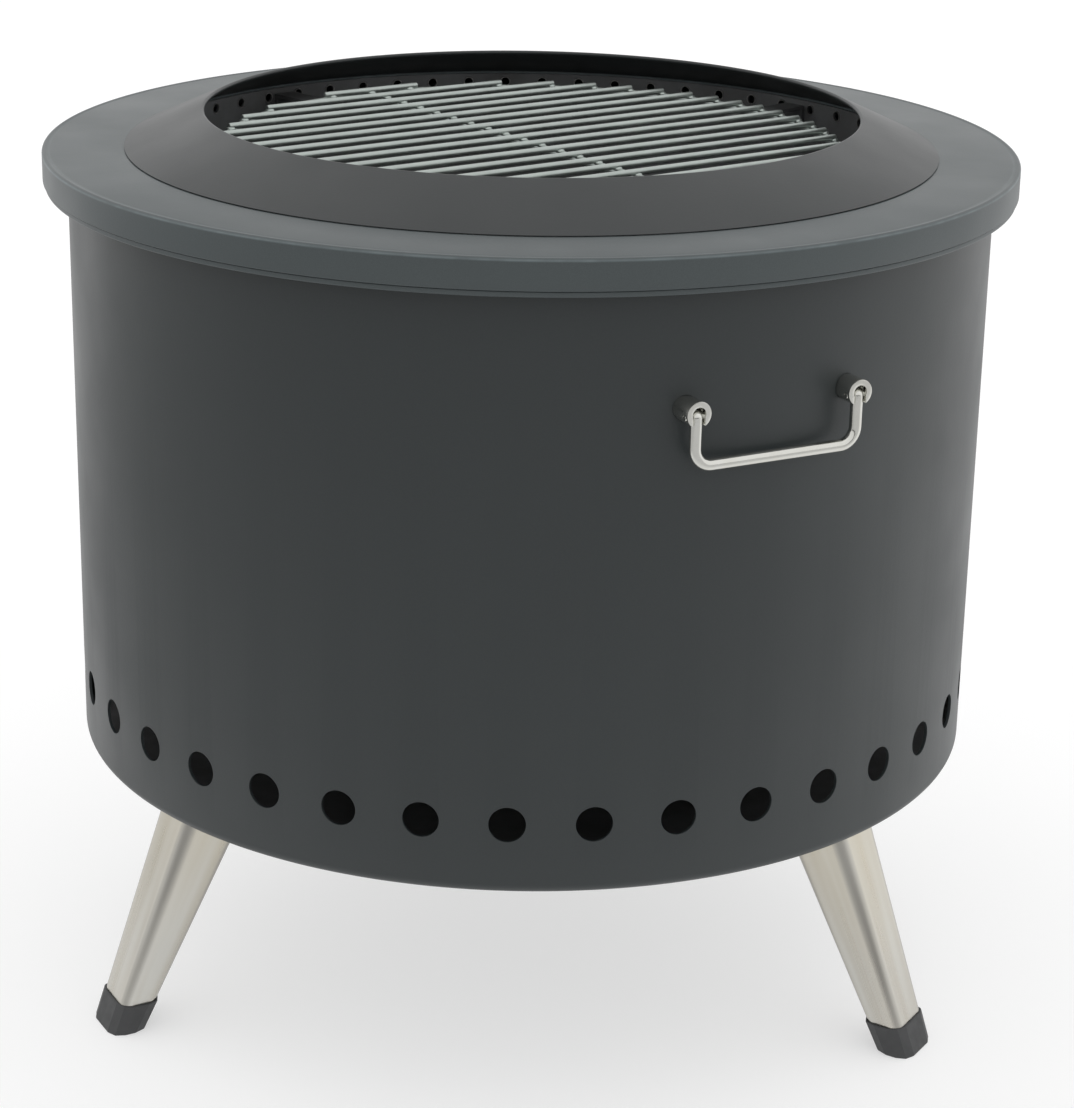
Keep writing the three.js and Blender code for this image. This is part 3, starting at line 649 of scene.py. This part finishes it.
def ash_pan():
    """Round tray with a rolled rim."""
    rim, bottom, top = PAN_HIGH.x, PAN_LOW.z, PAN_HIGH.z
    wall = rim - PAN_RIM
    corner_r, corner_z = wall - PAN_CORNER_R, bottom + PAN_CORNER_R
    profile = [(0.0, bottom)]
    profile += arc(corner_r, corner_z, PAN_CORNER_R, -90, 0, 6)
    profile += [(wall, top - PAN_RIM)]
    profile += arc(rim - PAN_HEM_R, top - PAN_HEM_R, PAN_HEM_R, -90, 90, 6)
    profile += [(wall - PAN_SHEET, top)]
    profile += arc(corner_r, corner_z, PAN_CORNER_R - PAN_SHEET, 0, -90, 6)
    profile += [(0.0, bottom + PAN_SHEET)]
    return finish_piece(lathe("ash_pan_tray", profile, 160), "ash_tray", "pan_steel", PAN_STEEL, "ash_pan")


# ---- legs --------------------------------------------------------------------------------------------
def leg_size(height):
    """Width and depth of the leg at a height, and how far its axis stands out there."""
    share = height / LEG_HIGH.z
    width = FOOT_WIDTH + (TOP_WIDTH - FOOT_WIDTH) * share
    depth = FOOT_DEPTH + (TOP_DEPTH - FOOT_DEPTH) * share
    return width, depth, FOOT_R - LEG_SPLAY * height


def leg_section(height, grow, steps=6):
    """Outline of the leg at a height, as points in the plane of that height, at the front."""
    width, depth, reach = leg_size(height)
    corner = LEG_CORNER * width + grow
    flat_x, flat_y = width / 2 + grow - corner, depth / 2 + grow - corner
    points = []
    for quarter, (side_x, side_y) in enumerate(((1, -1), (1, 1), (-1, 1), (-1, -1))):
        for i in range(steps + 1):
            angle = math.radians(-90 + 90 * quarter + 90 * i / steps)
            x = side_x * flat_x + corner * math.cos(angle)
            y = side_y * flat_y + corner * math.sin(angle)
            points.append((x, y - reach, height))
    return points


def loft(name, rings, looped=False):
    """Closed solid through rings of equal length, capped at both ends or looped back on itself."""
    verts = [point for ring in rings for point in ring]
    count = len(rings[0])
    faces = []
    for level in range(len(rings) if looped else len(rings) - 1):
        here, there = level * count, ((level + 1) % len(rings)) * count
        for k in range(count):
            after = (k + 1) % count
            faces.append((here + k, here + after, there + after, there + k))
    if not looped:
        faces.append(tuple(range(count)))
        faces.append(tuple(range(len(verts) - count, len(verts))))
    mesh = bpy.data.meshes.new(name)
    mesh.from_pydata(verts, [], faces)
    return clean(new_object(name, mesh))


def mark_grain(piece):
    """Stores, for each point, its place in an upright leg of one size, so that the grain follows the leg."""
    grain = piece.data.attributes.new("grain", "FLOAT_VECTOR", "POINT")
    for vertex, place in zip(piece.data.vertices, grain.data):
        x, y, z = vertex.co
        width, depth, reach = leg_size(z)
        place.vector = (x / width * TOP_WIDTH, (y + reach) / depth * TOP_DEPTH, z)


def foot_cap(number):
    """Plastic cap with rounded edges and a pocket for the leg's foot."""
    sections = ((0.0, 0.9 * MM), (0.5 * MM, 0.25 * MM), (1.1 * MM, 0.0),
                (CAP_TOP - 0.5 * MM, 0.0), (CAP_TOP, 0.45 * MM))
    rings = [leg_section(height, CAP_GROW - inset, 2) for height, inset in sections]
    cap = loft(f"foot_cap_skin_{number}", rings)
    pocket = [leg_section(height, CAP_PLAY) for height in (CAP_FLOOR, CAP_TOP + 1 * MM)]
    boolean(cap, loft("pocket", pocket))
    return clean(cap, 20)


def legs():
    rise = (LEG_HIGH.z - LEG_LOW.z) / LEG_LEVELS
    heights = [LEG_LOW.z + rise * i for i in range(LEG_LEVELS + 1)]
    for node, azimuth in LEG_AZIMUTHS.items():
        number = node[-1]
        outside = [leg_section(height, 0.0) for height in heights]
        inside = [leg_section(height, -LEG_WALL) for height in reversed(heights)]
        tube = loft(f"leg_tube_{number}", outside + inside, looped=True)
        mark_grain(tube)
        finish_piece(turn_to(tube, azimuth), "pit_body", "leg_steel", LEG_STEEL, node)
        cap = turn_to(foot_cap(number), azimuth)
        finish_piece(cap, "pit_body", "foot_plastic", FOOT_PLASTIC, f"foot_cap_{number}")


# ---- handles -----------------------------------------------------------------------------------------
def bail_path(steps_in_bend=10):
    """Axis of the bail rod as (x, z) from one pin to the other, hanging, with the pins at z = 0."""
    half, straight = POST_SPACING / 2, BAIL_DROP - BAIL_BEND_R
    points = [(-half, 0.0), (-half, -straight * 0.5)]
    centre_x = -half + BAIL_BEND_R
    for i in range(steps_in_bend + 1):
        angle = math.radians(180 + 90 * i / steps_in_bend)
        points.append((centre_x + BAIL_BEND_R * math.cos(angle), -straight + BAIL_BEND_R * math.sin(angle)))
    return points + [(-x, z) for x, z in reversed(points)]


def bail(name, sides=28):
    """The rod swept along its path, with a rounded end beyond each pin."""
    path = [Vector((x, 0, z)) for x, z in bail_path()]
    last = len(path) - 1
    tangents = [(path[min(i + 1, last)] - path[max(i - 1, 0)]).normalized() for i in range(last + 1)]
    domes = [math.radians(degrees) for degrees in (8, 25, 45, 65)]
    stations = []
    for angle in domes:
        stations.append((path[0], tangents[0], -ROD_R * math.cos(angle), ROD_R * math.sin(angle)))
    stations += [(point, tangent, 0.0, ROD_R) for point, tangent in zip(path, tangents)]
    for angle in reversed(domes):
        stations.append((path[-1], tangents[-1], ROD_R * math.cos(angle), ROD_R * math.sin(angle)))
    outward = Vector((0, 1, 0))
    rings = []
    for point, tangent, shift, radius in stations:
        across = outward.cross(tangent)
        centre = point + tangent * shift
        ring = []
        for k in range(sides):
            angle = 2 * math.pi * k / sides
            ring.append(centre + (across * math.cos(angle) + outward * math.sin(angle)) * radius)
        rings.append(ring)
    return loft(name, rings)


def cross_rod(name, x, half, pin_out, pin_z, radius, rounding=0.0):
    """Rod along the hinge line, as far to either side of x as asked."""
    return rod(name, (x - half, -pin_out, pin_z), (x + half, -pin_out, pin_z), radius, 24, rounding)


def handle_post(name, x, chord, face, pin_out, pin_z):
    """Round post trimmed to the barrel, with its bore, the slot for the rod and the holes for the pin."""
    post_z = pin_z + PIN_LOW
    bore_back = face - POST_BORE_DEPTH
    front = face + CUT_PAST
    post = rod(name, (x, POST_SUNK - chord, post_z), (x, -face, post_z), POST_R, 64)
    barrel = rod("barrel", (0, 0, post_z - 0.03), (0, 0, post_z + 0.03), SHELL_HIGH.x + 0.2 * MM, ROUND)
    boolean(post, barrel)
    boolean(post, rod("bore", (x, -bore_back, post_z), (x, -front, post_z), POST_BORE_R, 48))
    half = ROD_R + SLOT_PLAY
    low = (x - half, -front, post_z - POST_R - CUT_PAST)
    high = (x + half, -bore_back, post_z - PIN_LOW)
    boolean(post, block("slot", low, high))
    boolean(post, cross_rod("eye", x, POST_R + CUT_PAST, pin_out, pin_z, PIN_R + 0.05 * MM))
    return soften(post, POST_EDGE)


def handles():
    chord = math.sqrt(SHELL_HIGH.x**2 - (POST_SPACING / 2) ** 2)
    face = chord + POST_LENGTH
    pin_out = face - PIN_SET_BACK
    pin_half = math.sqrt(POST_R**2 - PIN_LOW**2) + PIN_PROUD
    posts = (("a", -POST_SPACING / 2), ("b", POST_SPACING / 2))
    for label, azimuth in HANDLES.items():
        pin_z = JOINTS[f"{label}_handle_swing"]["pos_m"][2]
        grip = bail(f"bail_rod_{label}")
        grip.data.transform(Matrix.Translation((0, -pin_out, pin_z)))
        for mark, x in posts:
            boolean(grip, cross_rod("eye", x, ROD_R + CUT_PAST, pin_out, pin_z, PIN_R + PIN_PLAY))
        turn_to(grip, azimuth)
        finish_piece(grip, f"bail_{label}", "handle_steel", HANDLE_STEEL, f"handle_{label}_bail")
        for mark, x in posts:
            post = handle_post(f"post_{label}_{mark}", x, chord, face, pin_out, pin_z)
            pin = cross_rod(f"hinge_pin_{label}_{mark}", x, pin_half, pin_out, pin_z, PIN_R, 0.4 * MM)
            for piece, part in ((post, "post"), (pin, "pin")):
                turn_to(piece, azimuth)
                node = f"handle_{label}_{part}_{mark}"
                finish_piece(piece, "pit_body", "handle_steel", HANDLE_STEEL, node)


# ---- CAD nodes whose own shape is shown -----------------------------------------------------------------
def shown_nodes():
    looks = {"base_plate": CHAMBER_COAT, "chamber_seat_ring": CHAMBER_COAT, "chamber_floor": CHAMBER_COAT}
    for number in range(1, 5):
        looks[f"grate_rest_{number}"] = CHAMBER_COAT
    for number in range(1, 4):
        looks[f"leg_plate_{number}"] = PLATE_STEEL
    for number in range(1, 7):
        looks[f"leg_screw_{number}"] = SCREW_STEEL
    for label in HANDLES:
        for mark in ("a", "b"):
            looks[f"handle_{label}_screw_{mark}"] = SCREW_STEEL
    for node, material in looks.items():
        piece = frame["nodes"][node]
        piece.data.materials.clear()
        piece.data.materials.append(material)
        edge = piece.modifiers.new("edge", "BEVEL")
        edge.width = NODE_EDGE
        edge.segments = 2
        edge.limit_method = "ANGLE"
        edge.angle_limit = math.radians(50)


# ---- camera, light and floor -----------------------------------------------------------------------------
def camera():
    """Photograph's viewing angle: where the camera stands and where it looks, in the row frame."""
    azimuth, distance, height = math.radians(1.466), 1.6905, 0.8518
    yaw, pitch, roll = math.radians(-1.214), math.radians(19.477), math.radians(1.09)
    forward = Vector((math.sin(yaw) * math.cos(pitch), math.cos(yaw) * math.cos(pitch), -math.sin(pitch)))
    right = Vector((math.cos(yaw), -math.sin(yaw), 0))
    up = right.cross(forward)
    right, up = right * math.cos(roll) + up * math.sin(roll), up * math.cos(roll) - right * math.sin(roll)
    data = bpy.data.cameras.new("camera")
    data.sensor_width = 36.0
    data.lens = 96.02
    data.clip_start, data.clip_end = 0.05, 50
    eye = bpy.data.objects.new("camera", data)
    bpy.context.scene.collection.objects.link(eye)
    place = Matrix((right, up, -forward)).transposed().to_4x4()
    place.translation = (distance * math.sin(azimuth), -distance * math.cos(azimuth), height)
    eye.matrix_world = place
    bpy.context.scene.camera = eye


def times(first, second, tree):
    node = tree.nodes.new("ShaderNodeMath")
    node.operation = "MULTIPLY"
    tree.links.new(first, node.inputs[0])
    tree.links.new(second, node.inputs[1])
    return node.outputs["Value"]


def studio():
    """White surround, a little dimmer behind the camera and dark just over the horizon in front, and
    a pale floor that glows less in front of the pit and at its left, outside the picture."""
    scene = bpy.context.scene
    scene.view_settings.view_transform = "Standard"
    world = bpy.data.worlds.new("surround")
    world.use_nodes = True
    scene.world = world
    tree = world.node_tree
    background = tree.nodes["Background"]
    background.inputs["Color"].default_value = (1.0, 1.0, 1.0, 1.0)
    direction = tree.nodes.new("ShaderNodeTexCoord").outputs["Generated"]

    def along(axis, start, stop, low, high):
        toward = tree.nodes.new("ShaderNodeVectorMath")
        toward.operation = "DOT_PRODUCT"
        toward.inputs[1].default_value = axis
        tree.links.new(direction, toward.inputs[0])
        level = tree.nodes.new("ShaderNodeMapRange")
        level.interpolation_type = "SMOOTHSTEP"
        level.inputs["From Min"].default_value = start
        level.inputs["From Max"].default_value = stop
        level.inputs["To Min"].default_value = low
        level.inputs["To Max"].default_value = high
        tree.links.new(toward.outputs["Value"], level.inputs["Value"])
        return level.outputs["Result"]

    behind = along((0.25, 0.968, 0.0), -1.0, -0.1, 0.9, 1.05)
    low_strip = along((0.0, 0.0, 1.0), 0.06, 0.16, 0.12, 1.0)
    front_only = along((0.0, 1.0, 0.0), -0.75, -0.3, 0.0, 1.0)
    strip = tree.nodes.new("ShaderNodeMath")
    strip.operation = "MAXIMUM"
    tree.links.new(low_strip, strip.inputs[0])
    tree.links.new(front_only, strip.inputs[1])
    tree.links.new(times(behind, strip.outputs["Value"], tree), background.inputs["Strength"])

    work = bmesh.new()
    bmesh.ops.create_grid(work, x_segments=2, y_segments=2, size=12.0)
    mesh = bpy.data.meshes.new("floor")
    work.to_mesh(mesh)
    work.free()
    floor = new_object("floor", mesh)
    look = Nodes("floor_paper")
    look.colour(look.ramp(look.noise(1.5, 2.0), grey(0.52), grey(0.54)))
    look.set(Roughness=0.9)
    split = look.tree.nodes.new("ShaderNodeSeparateXYZ")
    look.link(look.place, split.inputs["Vector"])
    left = look.span(split.outputs["X"], 1.0, 0.0, -0.85, -0.5)
    near = look.span(split.outputs["Y"], 1.0, 0.0, 0.5, 0.9)
    glow = look.span(split.outputs["Y"], 0.12, 0.5, -0.75, -0.3)
    dimmed = look.tree.nodes.new("ShaderNodeMath")
    dimmed.operation = "MULTIPLY_ADD"
    dimmed.inputs[1].default_value = -0.8
    dimmed.inputs[2].default_value = 1.0
    look.link(times(left, near, look.tree), dimmed.inputs[0])
    look.link(times(glow, dimmed.outputs["Value"], look.tree), look.shader.inputs["Emission Strength"])
    look.shader.inputs["Emission Color"].default_value = grey(1.0)
    mesh.materials.append(look.material)


camera()
studio()
barrel_shell()
top_ring()
flame_collar()
chamber_wall()
cooking_grate()
fire_grate()
ash_pan()
legs()
handles()
shown_nodes()
